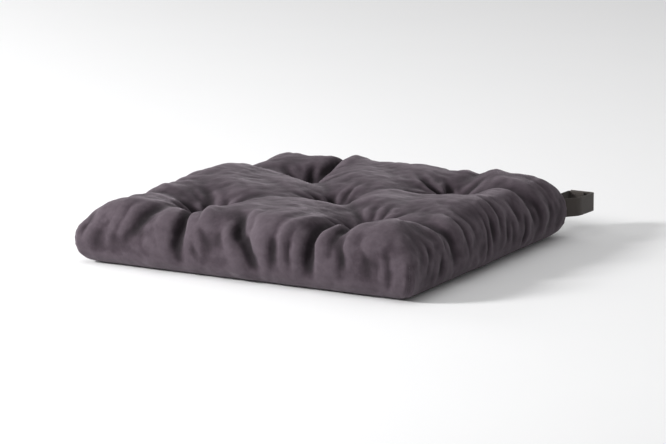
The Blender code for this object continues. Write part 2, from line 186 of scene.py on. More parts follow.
# Camera. It stands about four metres away to the front right of the pad, at a low angle above it.
# A long lens brings the pad close without widening its near corner.
CAMERA_PLACE = (2.119, -3.636, 0.876)
FILM_WIDTH, LENS = 36, 222  # both in millimetres
camera = bpy.data.objects.new("camera", bpy.data.cameras.new("camera"))
camera.data.sensor_width, camera.data.lens, camera.data.clip_end = FILM_WIDTH, LENS, 50
camera.location = CAMERA_PLACE
camera.rotation_euler = (PAD_CENTER - camera.location).to_track_quat("-Z", "Y").to_euler()
scene.collection.objects.link(camera)
scene.camera = camera


# Cover. One soft twill sheet is cut with a dart at each corner, so that it boxes down over the filling.
# Its lower edge is sewn to the underside panel, and five threads pull it down into hollows.
# The extra cloth puffs up between the threads and gathers on the walls below them.
COVER_LOW, COVER_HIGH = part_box("cover_top_panel")
DEPTH = COVER_HIGH.y - COVER_LOW.y
FRONT_WIDTH, REAR_WIDTH = 0.400, 0.356
CELL = 0.0050  # the cloth's grid, before it is divided once more
CORNER_POWER = 52.0  # how square the corners are in plan
WALL_PROFILE = (  # up the wall and over: share of the way, height, how far in
    (0.00, 0.0014, 0.0160), (0.12, 0.0036, 0.0085), (0.25, 0.0110, 0.0030), (0.45, 0.0230, 0.0002),
    (0.62, 0.0330, 0.0000), (0.80, 0.0430, 0.0025), (1.00, 0.0510, 0.0070))
SHOULDER_PROFILE = (  # from the shoulder inwards: how far in, height
    (0.0, 0.0510), (0.007, 0.0580), (0.016, 0.0630), (0.030, 0.0665), (0.050, 0.0670))
TUFT_NAMES = ("front_left", "front_right", "center", "rear_left", "rear_right")
TUFTS = [(sum(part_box("tuft_thread_" + name), Vector()) / 2).to_2d() for name in TUFT_NAMES]


def bell(x):
    """1 at nothing, falling smoothly to 0 at 1 and beyond."""
    return (1 + np.cos(np.pi * np.clip(x, 0, 1))) / 2


def plan_place(u, v, inset=0.0):
    """The grid's own square as the pad's plan: a trapezoid with rounded corners, drawn in by inset."""
    largest = np.maximum(abs(u), abs(v))
    norm = (abs(u) ** CORNER_POWER + abs(v) ** CORNER_POWER) ** (1 / CORNER_POWER)
    pull = 1 - (1 - largest / np.maximum(norm, 1e-9)) * largest ** 20
    half_width = (FRONT_WIDTH + (REAR_WIDTH - FRONT_WIDTH) * (v + 1) / 2) / 2 - inset
    return u * half_width * pull, v * (DEPTH / 2 - inset) * pull + PAD_CENTER.y, norm


def to_segment(x, y, ax, ay, bx, by):
    """Distance to the line from a to b, and how far along it the nearest point is."""
    dx, dy = bx - ax, by - ay
    along = ((x - ax) * dx + (y - ay) * dy) / (dx * dx + dy * dy)
    near = np.clip(along, 0, 1)
    return np.hypot(x - ax - near * dx, y - ay - near * dy), along


FL, FR, MID, RL, RR = TUFTS
FRONT, REAR = COVER_LOW.y, COVER_HIGH.y
VALLEYS = (  # shallow runs from the threads: from, to, depth, half width
    [(t.x, t.y, MID.x, MID.y, 0.0060, 0.030) for t in (FL, FR, RL, RR)]
    + [(FL.x, FL.y, FL.x - 0.012, FRONT, 0.0070, 0.030), (FR.x, FR.y, FR.x - 0.004, FRONT, 0.0080, 0.028),
       (RL.x, RL.y, RL.x + 0.012, REAR, 0.0120, 0.026), (RR.x, RR.y, RR.x + 0.004, REAR, 0.0025, 0.030),
       (FL.x, FL.y, -0.2, FL.y - 0.006, 0.0030, 0.030), (RL.x, RL.y, -0.19, RL.y, 0.0030, 0.030),
       (FR.x, FR.y, 0.2, FR.y + 0.004, 0.0045, 0.030), (RR.x, RR.y, 0.19, RR.y + 0.004, 0.0045, 0.030)])
HOLLOW_DEPTH, HOLLOW_REACH = 0.0250, 0.088
PUFFS = (  # the fullest lobes: where, how much fuller, how wide
    (-0.150, -0.010, 0.0050, 0.085), (-0.165, -0.110, 0.0020, 0.060), (0.010, 0.120, 0.0030, 0.080),
    (0.120, 0.125, 0.0055, 0.080), (-0.140, 0.130, 0.0025, 0.060), (0.150, -0.020, 0.0020, 0.070),
    (0.140, -0.170, 0.0020, 0.060))
# How much lower the cover is at a corner: least at the fullest one, most at the slackest.
DROOP_FRONT_LEFT, DROOP_REAR_RIGHT, DROOP_OTHERS = 0.17, 0.03, 0.10
BASE_HEIGHT = 0.0014  # the cover's sewn edge, above what the pad lies on


def sculpted(u, v, t, on_top, on_base):
    """The stuffed shape of the cover: grid square (u, v), share t of the way up the wall."""
    share, height, inward = zip(*WALL_PROFILE)
    inset = np.interp(t, share, inward)
    x, y, norm = plan_place(u, v, inset)
    corner = np.clip((abs(u * v)) ** 3.0, 0, 1)
    droop = corner * np.where((u < 0) & (v < 0), DROOP_FRONT_LEFT,
                              np.where((u > 0) & (v > 0), DROOP_REAR_RIGHT, DROOP_OTHERS))
    z = np.interp(t, share, height) * (1 - droop * t)
    edge = (1 - norm) * DEPTH / 2
    crown = np.interp(edge, *zip(*SHOULDER_PROFILE)) * (1 - droop)
    for px, py, rise, wide in PUFFS:
        crown += rise * bell(np.hypot(x - px, y - py) / wide)
    z = np.where(on_top, crown, z)
    sink = np.zeros_like(x)
    for tuft in TUFTS:
        r = np.hypot(x - tuft.x, y - tuft.y)
        sink = np.maximum(sink, HOLLOW_DEPTH * np.clip(1 - r / HOLLOW_REACH, 0, 1) ** 2.2)
    for ax, ay, bx, by, depth, wide in VALLEYS:
        r, along = to_segment(x, y, ax, ay, bx, by)
        sink = sink + depth * np.clip(1 - r / wide, 0, 1) ** 1.6 * np.clip(1 - 0.45 * along, 0.5, 1)
    lobes = 0.0022 * np.sin(x * 38 + 1.1) * np.sin(y * 33 + 0.7) + 0.0014 * np.sin(x * 71 - 0.4 + y * 55)
    z = np.where(on_top, z - sink * bell((norm - 0.93) / 0.16) * np.clip(edge / 0.03 + 0.35, 0, 1)
                 + lobes * np.clip(edge / 0.03, 0, 1), z)
    z = np.where(on_base, BASE_HEIGHT, z)
    return np.stack([x, y, z], 1)


WALL = 0.056  # the wall's width in the flat cut
HALF_CUT = 0.19  # half the side of the cut's top, a square
GRID_SIDE = 0.385  # the side that sets how many cells the top has


def divided_box(cuts):
    """A closed box of side 2, cut across each axis so many times."""
    bm = bmesh.new()
    bmesh.ops.create_cube(bm, size=2)
    for axis, number in enumerate(cuts):
        edges = [e for e in bm.edges if abs((e.verts[0].co - e.verts[1].co)[axis]) > 1e-6]
        bmesh.ops.subdivide_edges(bm, edges=edges, cuts=number, use_grid_fill=True)
    return bm


def cover_grid():
    """The box of even squares that becomes the cover. Its UV map is the flat cut, the walls folded out."""
    bm = divided_box([round(size / CELL) - 1 for size in (GRID_SIDE, GRID_SIDE, WALL)])
    cut = bm.loops.layers.uv.new("cut")
    for face in bm.faces:
        n = face.normal
        for loop in face.loops:
            c = loop.vert.co
            down = (1 - c.z) / 2 * WALL
            loop[cut].uv = (c.x * HALF_CUT + (n.x * down if abs(n.x) > 0.5 else 0),
                            c.y * HALF_CUT + (n.y * down if abs(n.y) > 0.5 else 0))
    return bm


# Folds in the cover's flat cut, each from one point to another: its depth, its half width, how far it
# bows sideways, and where along its run it is deepest. A negative depth is a puff. The broad ones come
# before the filling swells the cloth, and the sharp ones after it.
BROAD_FOLDS = [
    ((-0.094, -0.098), (-0.064, -0.242), 0.0090, 0.0090, 0.004, 0.62),
    ((-0.050, -0.120), (-0.043, -0.225), -0.0040, 0.0110, 0.002, 0.60),
    ((-0.034, -0.146), (0.026, -0.243), 0.0080, 0.0080, 0.007, 0.58),
    ((0.020, -0.120), (0.048, -0.220), -0.0055, 0.0200, 0.000, 0.50),
    ((0.086, -0.098), (0.078, -0.244), 0.0105, 0.0085, -0.004, 0.60),
    ((0.106, -0.112), (0.102, -0.218), 0.0050, 0.0070, 0.005, 0.50),
    ((0.142, -0.110), (0.150, -0.225), -0.0050, 0.0260, 0.000, 0.50),
    ((-0.142, -0.110), (-0.146, -0.225), -0.0040, 0.0260, 0.000, 0.50),
    ((-0.118, -0.130), (-0.128, -0.232), 0.0030, 0.0090, 0.006, 0.60),
    ((-0.100, -0.095), (-0.240, -0.088), 0.0040, 0.0085, 0.004, 0.65),
    ((-0.096, 0.095), (-0.240, 0.084), 0.0045, 0.0085, -0.004, 0.65),
    ((-0.130, 0.005), (-0.225, 0.000), -0.0035, 0.0260, 0.000, 0.60),
    ((0.100, -0.095), (0.240, -0.084), 0.0050, 0.0090, -0.004, 0.65),
    ((0.096, 0.098), (0.240, 0.106), 0.0050, 0.0090, 0.004, 0.65),
    ((0.130, 0.005), (0.225, 0.010), -0.0035, 0.0260, 0.000, 0.60),
    ((0.140, 0.150), (0.215, 0.165), -0.0045, 0.0240, 0.000, 0.60),
    ((-0.092, 0.100), (-0.074, 0.242), 0.0100, 0.0100, 0.005, 0.55),
    ((0.092, 0.102), (0.094, 0.242), 0.0035, 0.0090, -0.004, 0.60),
    ((0.004, 0.140), (0.012, 0.238), 0.0035, 0.0090, 0.003, 0.60),
]
FOLDS = [
    ((-0.088, -0.108), (-0.067, -0.238), 0.0040, 0.0042, 0.004, 0.65),
    ((-0.080, -0.115), (-0.020, -0.225), 0.0026, 0.0050, -0.008, 0.50),
    ((-0.026, -0.165), (0.024, -0.240), 0.0030, 0.0045, 0.006, 0.60),
    ((0.088, -0.108), (0.080, -0.242), 0.0042, 0.0042, -0.004, 0.60),
    ((0.100, -0.108), (0.100, -0.222), 0.0036, 0.0040, 0.006, 0.45),
    ((0.078, -0.112), (0.050, -0.225), 0.0022, 0.0055, 0.005, 0.50),
    ((-0.105, -0.110), (-0.134, -0.228), 0.0018, 0.0055, 0.006, 0.60),
    ((-0.150, -0.170), (-0.170, -0.235), 0.0013, 0.0060, 0.003, 0.60),
    ((0.125, -0.160), (0.150, -0.240), 0.0012, 0.0055, 0.003, 0.60),
    ((-0.094, 0.100), (-0.078, 0.236), 0.0035, 0.0045, 0.005, 0.55),
    ((-0.062, -0.150), (-0.048, -0.238), 0.0020, 0.0038, 0.003, 0.60),
    ((-0.006, -0.150), (0.004, -0.226), 0.0018, 0.0042, -0.004, 0.55),
    ((0.040, -0.160), (0.034, -0.240), 0.0022, 0.0042, 0.003, 0.60),
    ((0.064, -0.150), (0.058, -0.240), 0.0024, 0.0038, -0.003, 0.60),
    ((0.112, -0.150), (0.112, -0.236), 0.0020, 0.0040, 0.003, 0.60),
    ((0.172, -0.170), (0.165, -0.240), 0.0016, 0.0042, -0.003, 0.65),
]
SPOKES = 10  # gathers round each thread
draw = random.Random(11)
for tuft in TUFTS:
    x, y = tuft.x, tuft.y - PAD_CENTER.y
    turn = draw.random()
    for k in range(SPOKES):
        angle = (k + turn + draw.uniform(-0.3, 0.3)) / SPOKES * 2 * math.pi
        length = draw.uniform(0.026, 0.070)
        FOLDS.append(((x + 0.004 * math.cos(angle), y + 0.004 * math.sin(angle)),
                      (x + length * math.cos(angle), y + length * math.sin(angle)),
                      draw.uniform(0.0018, 0.0042), draw.uniform(0.0028, 0.0048),
                      draw.uniform(-0.008, 0.008), 0.2))
WALL_RUN = 0.178  # how far along a wall its wrinkles go, each way from the middle
for (facing_x, facing_y), spacing, strong in (
        ((1, 0), 0.015, 1.1), ((-1, 0), 0.016, 1.0), ((0, 1), 0.018, 1.0), ((0, -1), 0.024, 0.6)):
    place = -WALL_RUN
    while place < WALL_RUN:
        slant = draw.uniform(-0.014, 0.014)
        low, high = HALF_CUT + draw.uniform(0.020, 0.050), HALF_CUT - draw.uniform(-0.010, 0.055)
        ends = [(facing_x * out, along) if facing_x else (along, facing_y * out)
                for out, along in ((low, place), (high, place + slant))]
        FOLDS.append((*ends, strong * draw.uniform(0.0004, 0.0021), draw.uniform(0.0028, 0.0055),
                      draw.uniform(-0.004, 0.004), draw.uniform(0.25, 0.6)))
        place += spacing * draw.uniform(0.5, 1.6)


def folded(cut, folds):
    """How far each point of the flat cut moves along its normal: down in a fold, up a little beside it."""
    rise = np.zeros(len(cut))
    for (ax, ay), (bx, by), depth, wide, bow, peak in folds:
        length = math.hypot(bx - ax, by - ay)
        dx, dy = (bx - ax) / length, (by - ay) / length
        along = ((cut[:, 0] - ax) * dx + (cut[:, 1] - ay) * dy) / length
        aside = (cut[:, 1] - ay) * dx - (cut[:, 0] - ax) * dy
        aside = abs(aside - bow * np.sin(np.pi * np.clip(along, 0, 1))) / wide
        here = (along > 0) & (along < 1) & (aside < 5)
        al, d = along[here], aside[here]
        swell = np.where(al < peak, bell(1 - al / peak), bell((al - peak) / (1 - peak)))
        if depth > 0:
            rise[here] += depth * swell * (0.42 * np.exp(-((d - 2.1) / 1.0) ** 2) - np.exp(-d ** 1.4))
        else:
            rise[here] -= depth * swell * np.exp(-d ** 2)
    return rise


def crumple(places, size, amount):
    """Soft random dents a size across."""
    return np.array([noise.noise(Vector(p) / size) for p in places]) * amount


def flat_cut(mesh):
    """Each vertex's place in the flat cut."""
    corners, flat = np.zeros(len(mesh.loops), int), np.zeros(len(mesh.loops) * 2)
    mesh.loops.foreach_get("vertex_index", corners)
    mesh.uv_layers[0].data.foreach_get("uv", flat)
    cut = np.zeros((len(mesh.vertices), 2))
    cut[corners] = flat.reshape(-1, 2)
    return cut


def places_of(mesh, what="co"):
    """Each vertex's place, or its normal."""
    values = np.zeros(len(mesh.vertices) * 3)
    mesh.vertices.foreach_get(what, values)
    return values.reshape(-1, 3)


def put(mesh, places):
    mesh.vertices.foreach_set("co", places.ravel())
    mesh.update()


def off_base(heights):
    """0 at the sewn edge, which stays flat, rising to 1 a centimetre up."""
    return np.clip((heights - 0.002) / 0.008, 0, 1)


JITTER = 0.0003  # small unevenness that lets the cloth choose where to buckle
bm = cover_grid()
square = np.array([v.co for v in bm.verts])
u, v, t = square[:, 0], square[:, 1], (square[:, 2] + 1) / 2
on_top, on_base = t > 0.999, t < 0.001
form = sculpted(u, v, t, on_top, on_base)
chance = np.random.default_rng(7)
form += chance.normal(0, JITTER, form.shape) * (~on_base)[:, None]
for vert, place in zip(bm.verts, form):
    vert.co = place


def weave(uv, pitch):
    """Over-and-under threads: 1 on top of a thread, 0 in the gaps."""
    x, y, _ = uv.parts()
    warp = (x * (2 * math.pi / pitch)).math("SINE")
    weft = (y * (2 * math.pi / pitch)).math("SINE")
    over = (x * (math.pi / pitch)).math("SINE") * (y * (math.pi / pitch)).math("SINE")
    return over.math("ABSOLUTE") * 0.6 + (warp * weft) * 0.2 + 0.2


MAUVE_PAINTED_SHADE_TO_HIGHLIGHT = (  # from painted shade in the bottoms of the folds to painted highlight on their crests
    (0.18, (0.008, 0.0057, 0.0073)), (0.46, (0.028, 0.0200, 0.0255)),
    (0.62, (0.052, 0.0385, 0.0480)), (0.85, (0.104, 0.083, 0.098)))


def velvet(place, uv):
    """Dark mauve twill with a short nap: brushed patches, a fine weave, painted shade in the folds and
    painted highlight on their crests.
    """
    patches = place.noise(14.0, 4, 0.6)
    fine = place.noise(160.0, 3, 0.6)
    thread = place.noise(900.0, 2, 0.5)
    # Painted shade and painted highlight: the crest attribute darkens the colour in the bottoms of the folds
    # and lightens it on their crests, mixed with the brushed nap patches.
    crest = place.make("Attribute", {"attribute_name": "crest"}, out=2)
    brushed_nap_and_painted_light = patches * 0.26 + fine * 0.22 + crest * 0.52
    color = brushed_nap_and_painted_light.make("ValToRGB", {"stops": MAUVE_PAINTED_SHADE_TO_HIGHLIGHT}, Fac=brushed_nap_and_painted_light)
    twill = weave(uv, 0.0009)
    nap = place.noise(420.0, 3, 0.65)
    color = (twill * 0.5 + nap * 0.5).mix((0.80, 0.80, 0.80), (1.20, 1.20, 1.20)).tint(color)
    height = fine * 0.25 + thread * 0.2 + nap * 0.35 + twill * 0.2
    return dict(Base_Color=color, Roughness=0.78 + patches * 0.16, Normal=place.bump(height, 0.55, 0.0007))


cover_fabric = finish_of("cover_fabric_mauve", velvet, Sheen_Weight=0.20, Sheen_Roughness=0.40,
                         Sheen_Tint=(0.92, 0.82, 0.90, 1), Specular_IOR_Level=0.20)
cover = piece_of("cover", bm, cover_fabric)

free = off_base(form[:, 2])[:, None]
outward = places_of(cover.data, "normal")
form += outward * folded(flat_cut(cover.data), BROAD_FOLDS)[:, None] * free
form += outward * (crumple(form, 0.050, 0.0030) + crumple(form, 0.022, 0.0012))[:, None] * free
put(cover.data, form)

PUFF_FRAMES, PUFF_CAP = 36, 0.014  # how long the cloth settles, and the furthest that a point may go
EASE = 1.12  # how much larger the cloth is cut than the shape that it covers
FILL_VOLUME = 0.0085  # cubic metres that the filling tries to take up
THREAD_HOLD = 0.0045  # the cloth this close to a thread can't move


def puffed(cover, form):
    """Lets the stuffing swell the cloth, which is cut a little larger than the shape it fills."""
    cover.shape_key_add(name="Basis")
    cut = cover.shape_key_add(name="cut")
    ease = 1 + (EASE - 1) * np.clip(t / 0.6, 0, 1)
    larger = form.copy()
    larger[:, 0] = form[:, 0] * ease
    larger[:, 1] = (form[:, 1] - PAD_CENTER.y) * ease + PAD_CENTER.y
    cut.data.foreach_set("co", larger.ravel())
    held = on_base.copy()
    for tuft in TUFTS:
        r = np.where(on_top, np.hypot(form[:, 0] - tuft.x, form[:, 1] - tuft.y), 9)
        held |= r < THREAD_HOLD
        held[np.argmin(r)] = True
    group = cover.vertex_groups.new(name="sewn")
    group.add([int(i) for i in np.nonzero(held)[0]], 1.0, "REPLACE")
    cloth = cover.modifiers.new("Cloth", "CLOTH")
    s = cloth.settings
    s.quality, s.mass = 6, 0.02
    s.tension_stiffness = s.compression_stiffness = 20
    s.shear_stiffness, s.bending_stiffness = 5, 0.02
    s.tension_damping = s.compression_damping = s.shear_damping = 8
    s.bending_damping, s.air_damping = 0.5, 3
    s.use_pressure, s.uniform_pressure_force = True, 0.0
    s.use_pressure_volume, s.target_volume, s.pressure_factor = True, FILL_VOLUME, 3.0
    s.vertex_group_mass = "sewn"
    s.effector_weights.gravity = 0
    s.rest_shape_key = cut
    cloth.point_cache.frame_start, cloth.point_cache.frame_end = 1, PUFF_FRAMES + 1
    for frame_number in range(1, PUFF_FRAMES + 1):
        scene.frame_set(frame_number)
    shown = cover.evaluated_get(bpy.context.evaluated_depsgraph_get())
    place = np.zeros(len(form) * 3)
    shown.data.vertices.foreach_get("co", place)
    place = place.reshape(-1, 3)
    cover.modifiers.clear()
    cover.shape_key_clear()
    cover.vertex_groups.clear()
    scene.frame_set(1)
    moved = place - form
    far = np.linalg.norm(moved, axis=1)[:, None]
    moved *= PUFF_CAP * np.tanh(far / PUFF_CAP) / np.maximum(far, 1e-9)
    return form + moved


form = puffed(cover, form)
put(cover.data, form)

# The grid's base goes, because the underside panel closes the cover there, and the rest is divided once.
bm = bmesh.new()
bm.from_mesh(cover.data)
base = [f for f in bm.faces if all(v.co.z < BASE_HEIGHT + 0.0002 for v in f.verts) and f.normal.z < -0.9]
bmesh.ops.delete(bm, geom=base, context="FACES")
bm.to_mesh(cover.data)
bm.free()
smoother = cover.modifiers.new("Finer", "SUBSURF")
smoother.levels = smoother.render_levels = 1
finer = bpy.data.meshes.new_from_object(cover.evaluated_get(bpy.context.evaluated_depsgraph_get()))
cover.modifiers.clear()
cover.data = finer

place, outward = places_of(cover.data), places_of(cover.data, "normal")
flat = flat_cut(cover.data)
rise = folded(flat, FOLDS) + crumple(place, 0.012, 0.0005) + crumple(place, 0.006, 0.00018)
# The corner darts: a sharp groove, with the cloth puckered into small pillows along both its sides.
DART_DEPTH, DART_WIDTH = 0.0022, 0.0019
PILLOW_RISE, PILLOW_ASIDE, PILLOW_WIDTH, PUCKER_PITCH = 0.0007, 0.005, 0.003, 0.0075
down_wall = abs(flat).max(1) - HALF_CUT
beside = np.where(down_wall > 0, np.maximum(HALF_CUT - abs(flat).min(1), 0), 1.0)
fade = bell(abs(down_wall / WALL - 0.66) / 0.66) * (down_wall > 0)
puckers = np.sin(down_wall * 2 * np.pi / PUCKER_PITCH + np.sign(flat[:, 0]) * 1.3)
rise += fade * (PILLOW_RISE * np.exp(-((beside - PILLOW_ASIDE) / PILLOW_WIDTH) ** 2) * (1 + 0.5 * puckers)
                - DART_DEPTH * np.exp(-(beside / DART_WIDTH) ** 1.3))
put(cover.data, place + outward * (rise * off_base(place[:, 2]))[:, None])
cover.data.shade_smooth()


# The crest value sets the cover's painted shade in the bottoms of the folds and its painted highlight on
# their crests; its top is held below 1 to keep the painted highlight soft.
def mark_crests(mesh, full, rounds):
    """Keeps how far each point stands above its surroundings: near 1 on a fold's crest, 0 in its bottom."""
    ends = np.zeros(len(mesh.edges) * 2, int)
    mesh.edges.foreach_get("vertices", ends)
    a, b = ends.reshape(-1, 2).T
    near = np.bincount(ends, minlength=len(mesh.vertices))[:, None]
    place, normals = places_of(mesh), places_of(mesh, "normal")
    around, count = place.copy(), len(place)
    for _ in range(rounds):
        total = np.zeros_like(around)
        for k in range(3):
            total[:, k] = np.bincount(a, around[b, k], count) + np.bincount(b, around[a, k], count)
        around = total / near
    stand = ((place - around) * normals).sum(1) / full
    crest = mesh.attributes.new("crest", "FLOAT", "POINT")
    crest.data.foreach_set("value", np.clip(0.5 + stand, 0, 0.92).astype(np.float32))


mark_crests(cover.data, 0.0024, 14)
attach(cover, "pad")
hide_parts("cover_top_panel")

bm = bmesh.new()
bm.from_mesh(cover.data)
COVER_SURFACE = BVHTree.FromBMesh(bm)
bm.free()


def cover_reach(start, toward):
    """Where a line from start meets the finished cover, and the cover's outward direction there."""
    return COVER_SURFACE.ray_cast(Vector(start), Vector(toward).normalized())[:2]


def fitted(piece, body, node):
    """The piece moves with the body and stands for the node."""
    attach(piece, body)
    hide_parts(node)


def flat_weave(bm):
    """A UV map in metres for cloth that lies flat: its own place in plan."""
    cut = bm.loops.layers.uv.new("cut")
    for face in bm.faces:
        for loop in face.loops:
            loop[cut].uv = loop.vert.co.xy


# Underside panel. A plain-woven cotton sheet closes the cover below. It lies flat on the seat, and the
# five threads pull small hollows up into it, with short puckers round them.
PANEL_THICKNESS = 0.0011
PANEL_INSET = 0.0163  # its seam, in from the cover's widest outline
BASE_HOLLOW_DEPTH, BASE_HOLLOW_REACH = 0.0062, 0.030
PUCKERS, PUCKER_RISE = 9, 0.0006
EDGE_RISE = 0.0013  # the edge turns up to meet the cover's


def plain_cotton(place, uv):
    threads = weave(uv, 0.0011)
    slubs = uv.make("Mapping", Vector=uv, Scale=(60, 900, 1)).noise(1.0, 3, 0.6)
    patches = place.noise(11.0, 4, 0.6)
    tone = threads * 0.35 + slubs * 0.35 + patches * 0.3
    return dict(Base_Color=tone.mix((0.030, 0.026, 0.029), (0.078, 0.069, 0.076)),
                Roughness=0.80 + patches * 0.15, Normal=place.bump(threads + slubs * 0.5, 0.5, 0.0003))


bm = bmesh.new()
bmesh.ops.create_grid(bm, x_segments=110, y_segments=106, size=1)
bm.verts.ensure_lookup_table()
grid = np.array([vert.co for vert in bm.verts])
x, y, norm = plan_place(grid[:, 0], grid[:, 1], PANEL_INSET)
rise = np.zeros_like(x)
for tuft in TUFTS:
    r = np.hypot(x - tuft.x, y - tuft.y)
    spokes = np.cos(PUCKERS * np.arctan2(y - tuft.y, x - tuft.x) + tuft.x * 40) * bell(abs(r - 0.014) / 0.012)
    rise += (BASE_HOLLOW_DEPTH * np.clip(1 - r / BASE_HOLLOW_REACH, 0, 1) ** 2
             + PUCKER_RISE * spokes * (r < 0.026))
rise += EDGE_RISE * np.clip((norm - 0.975) / 0.025, 0, 1) ** 1.5
rise += 0.0003 * (1 + np.sin(x * 55 + 0.6) * np.sin(y * 47)) * bell((norm - 0.55) / 0.45)
for vert, px, py, pz in zip(bm.verts, x, y, np.maximum(rise, 0)):
    vert.co = (px, py, pz)
flat_weave(bm)
bmesh.ops.reverse_faces(bm, faces=bm.faces[:])
underside = piece_of("underside", bm, finish_of("underside_cotton", plain_cotton, Sheen_Weight=0.2,
                                                Specular_IOR_Level=0.25))
wall = underside.modifiers.new("Thickness", "SOLIDIFY")
wall.thickness, wall.offset = PANEL_THICKNESS, -1
fitted(underside, "pad", "cover_bottom_panel")


# Filling. A block of polyurethane foam is cut to the cover's plan, with a layer of polyester wadding
# above it and a thinner one below, and all three give way round the five threads.
def foam_cells(place, uv):
    cells = place.make("TexVoronoi", Vector=place, Scale=700.0)
    patches = place.noise(30.0)
    return dict(Base_Color=patches.mix((0.62, 0.56, 0.40), (0.72, 0.67, 0.52)),
                Roughness=0.85 + patches * 0.1, Normal=place.bump(cells, 0.6, 0.0008))


def polyester_fluff(place, uv):
    strands = place.make("Mapping", Vector=place, Scale=(1, 1, 3)).noise(180.0, 5, 0.7)
    patches = place.noise(25.0)
    return dict(Base_Color=patches.mix((0.70, 0.70, 0.68), (0.82, 0.82, 0.80)),
                Roughness=0.88 + patches * 0.1, Normal=place.bump(strands, 0.7, 0.0015))


def cover_over(x, y):
    """The cover's lowest height close to a point of the plan."""
    spots = [cover_reach((x + a, y + b, 0.09), (0, 0, -1))[0]
             for a, b in ((0, 0), (0.007, 0), (-0.007, 0), (0, 0.007), (0, -0.007))]
    return min((spot.z for spot in spots if spot), default=0.012)


def hollow_under(x, y):
    """The underside panel's height at a point of the plan."""
    return max((BASE_HOLLOW_DEPTH * max(1 - (Vector((x, y)) - tuft).length / BASE_HOLLOW_REACH, 0) ** 2
                for tuft in TUFTS)) + PANEL_THICKNESS


def between(share, x, y):
    """A share of the way up from the underside panel to the cover, with room left at both."""
    under, over = hollow_under(x, y) + 0.0022, cover_over(x, y) - 0.0035
    return under + max(over - under, 0.001) * share


def layer(name, low, high, inset, material, node):
    """A closed layer of filling between two shares of the height inside the cover."""
    bm = divided_box((35, 35, 3))
    for vert in bm.verts:
        c = vert.co
        px, py, norm = (float(w) for w in plan_place(np.float64(c.x), np.float64(c.y), inset))
        share = (c.z + 1) / 2
        under, over = between(low, px, py), between(high, px, py)
        round_off = 0.25 * (over - under) * max(0.0, (norm - 0.94) / 0.06) ** 2
        under, over = under + round_off, over - round_off
        vert.co = (px, py, under + (over - under) * share)
    piece = piece_of(name, bm, material)
    fitted(piece, "pad", node)


wadding = finish_of("polyester_wadding", polyester_fluff, Sheen_Weight=0.2)
layer("foam_core_block", 0.16, 0.80, 0.0240, finish_of("cut_foam", foam_cells), "foam_core")
layer("upper_wadding_layer", 0.81, 1.0, 0.0240, wadding, "upper_wadding")
layer("lower_wadding_layer", 0.0, 0.15, 0.0260, wadding, "lower_wadding")


# Tufts. A stout waxed thread goes down through the filling at each of five points and back up 10 mm
# beside it. It is drawn tight and knotted below, and a short bar of it shows in each hollow.
THREAD_RADIUS = 0.00045
BAR = 0.0050  # half the length of the bar that shows
LAY = 1700  # radians of twist in a metre of thread


def stations(points, up=(0, 0, 1), turn=0.0):
    """The section's place at each point of a route, turned steadily by turn radians a metre."""
    points = [Vector(p) for p in points]
    run, made = 0.0, []
    for i, point in enumerate(points):
        ahead = (points[min(i + 1, len(points) - 1)] - points[max(i - 1, 0)]).normalized()
        aside = ahead.cross(Vector(up))
        aside = aside.normalized() if aside.length > 1e-4 else Vector((1, 0, 0))
        run += (point - points[i - 1]).length if i else 0
        matrix = Matrix((aside, ahead.cross(aside), ahead)).transposed().to_4x4()
        made.append(Matrix.Translation(point) @ matrix @ Matrix.Rotation(turn * run, 4, "Z"))
    return made


def swept(bm, placed, sides, shape):
    """Extrudes a ring through its places. shape turns a point of the unit circle into one of the section."""
    ring = bmesh.ops.create_circle(bm, segments=sides, radius=1)["verts"]
    for vert in ring:
        vert.co = (*shape(vert.co.x, vert.co.y), 0)
    edges = list({edge for vert in ring for edge in vert.link_edges})
    bmesh.ops.transform(bm, matrix=placed[0], verts=ring)
    bmesh.ops.contextual_create(bm, geom=edges)
    for before, after in zip(placed, placed[1:]):
        grown = bmesh.ops.extrude_edge_only(bm, edges=edges)["geom"]
        ring = [g for g in grown if isinstance(g, bmesh.types.BMVert)]
        fresh = set(ring)
        edges = [g for g in grown if isinstance(g, bmesh.types.BMEdge) and set(g.verts) <= fresh]
        bmesh.ops.transform(bm, matrix=after @ before.inverted(), verts=ring)
    bmesh.ops.contextual_create(bm, geom=edges)


def plied(x, y):
    """The section of two threads twisted together."""
    angle = math.atan2(y, x)
    r = THREAD_RADIUS * (0.86 + 0.30 * math.cos(2 * angle))
    return r * math.cos(angle), r * math.sin(angle)


def waxed_thread(dark, pale):
    """Twisted polyester thread with a thin coat of wax, between two tones."""
    def paint(place, uv):
        strands = place.noise(2600.0, 2, 0.6)
        patches = place.noise(400.0)
        return dict(Base_Color=(strands * 0.6 + patches * 0.4).mix(dark, pale),
                    Roughness=0.5 + patches * 0.2, Normal=place.bump(strands, 0.5, 0.0002))
    return paint


sewing_thread = finish_of("mauve_thread", waxed_thread((0.055, 0.043, 0.051), (0.125, 0.103, 0.117)),
                          Sheen_Weight=0.2, Specular_IOR_Level=0.4)


def round_bend(points, steps=6):
    """A route that takes its inner points as smooth bends."""
    points = [Vector(p) for p in points]
    made = [points[0]]
    for a, b, c in zip(points, points[1:], points[2:]):
        start, end = (a + b) / 2 if a is not points[0] else a.lerp(b, 0.4), (b + c) / 2
        for k in range(1, steps + 1):
            s = k / steps
            made.append(start * (1 - s) ** 2 + b * 2 * s * (1 - s) + end * s ** 2)
    return made + [points[-1]]


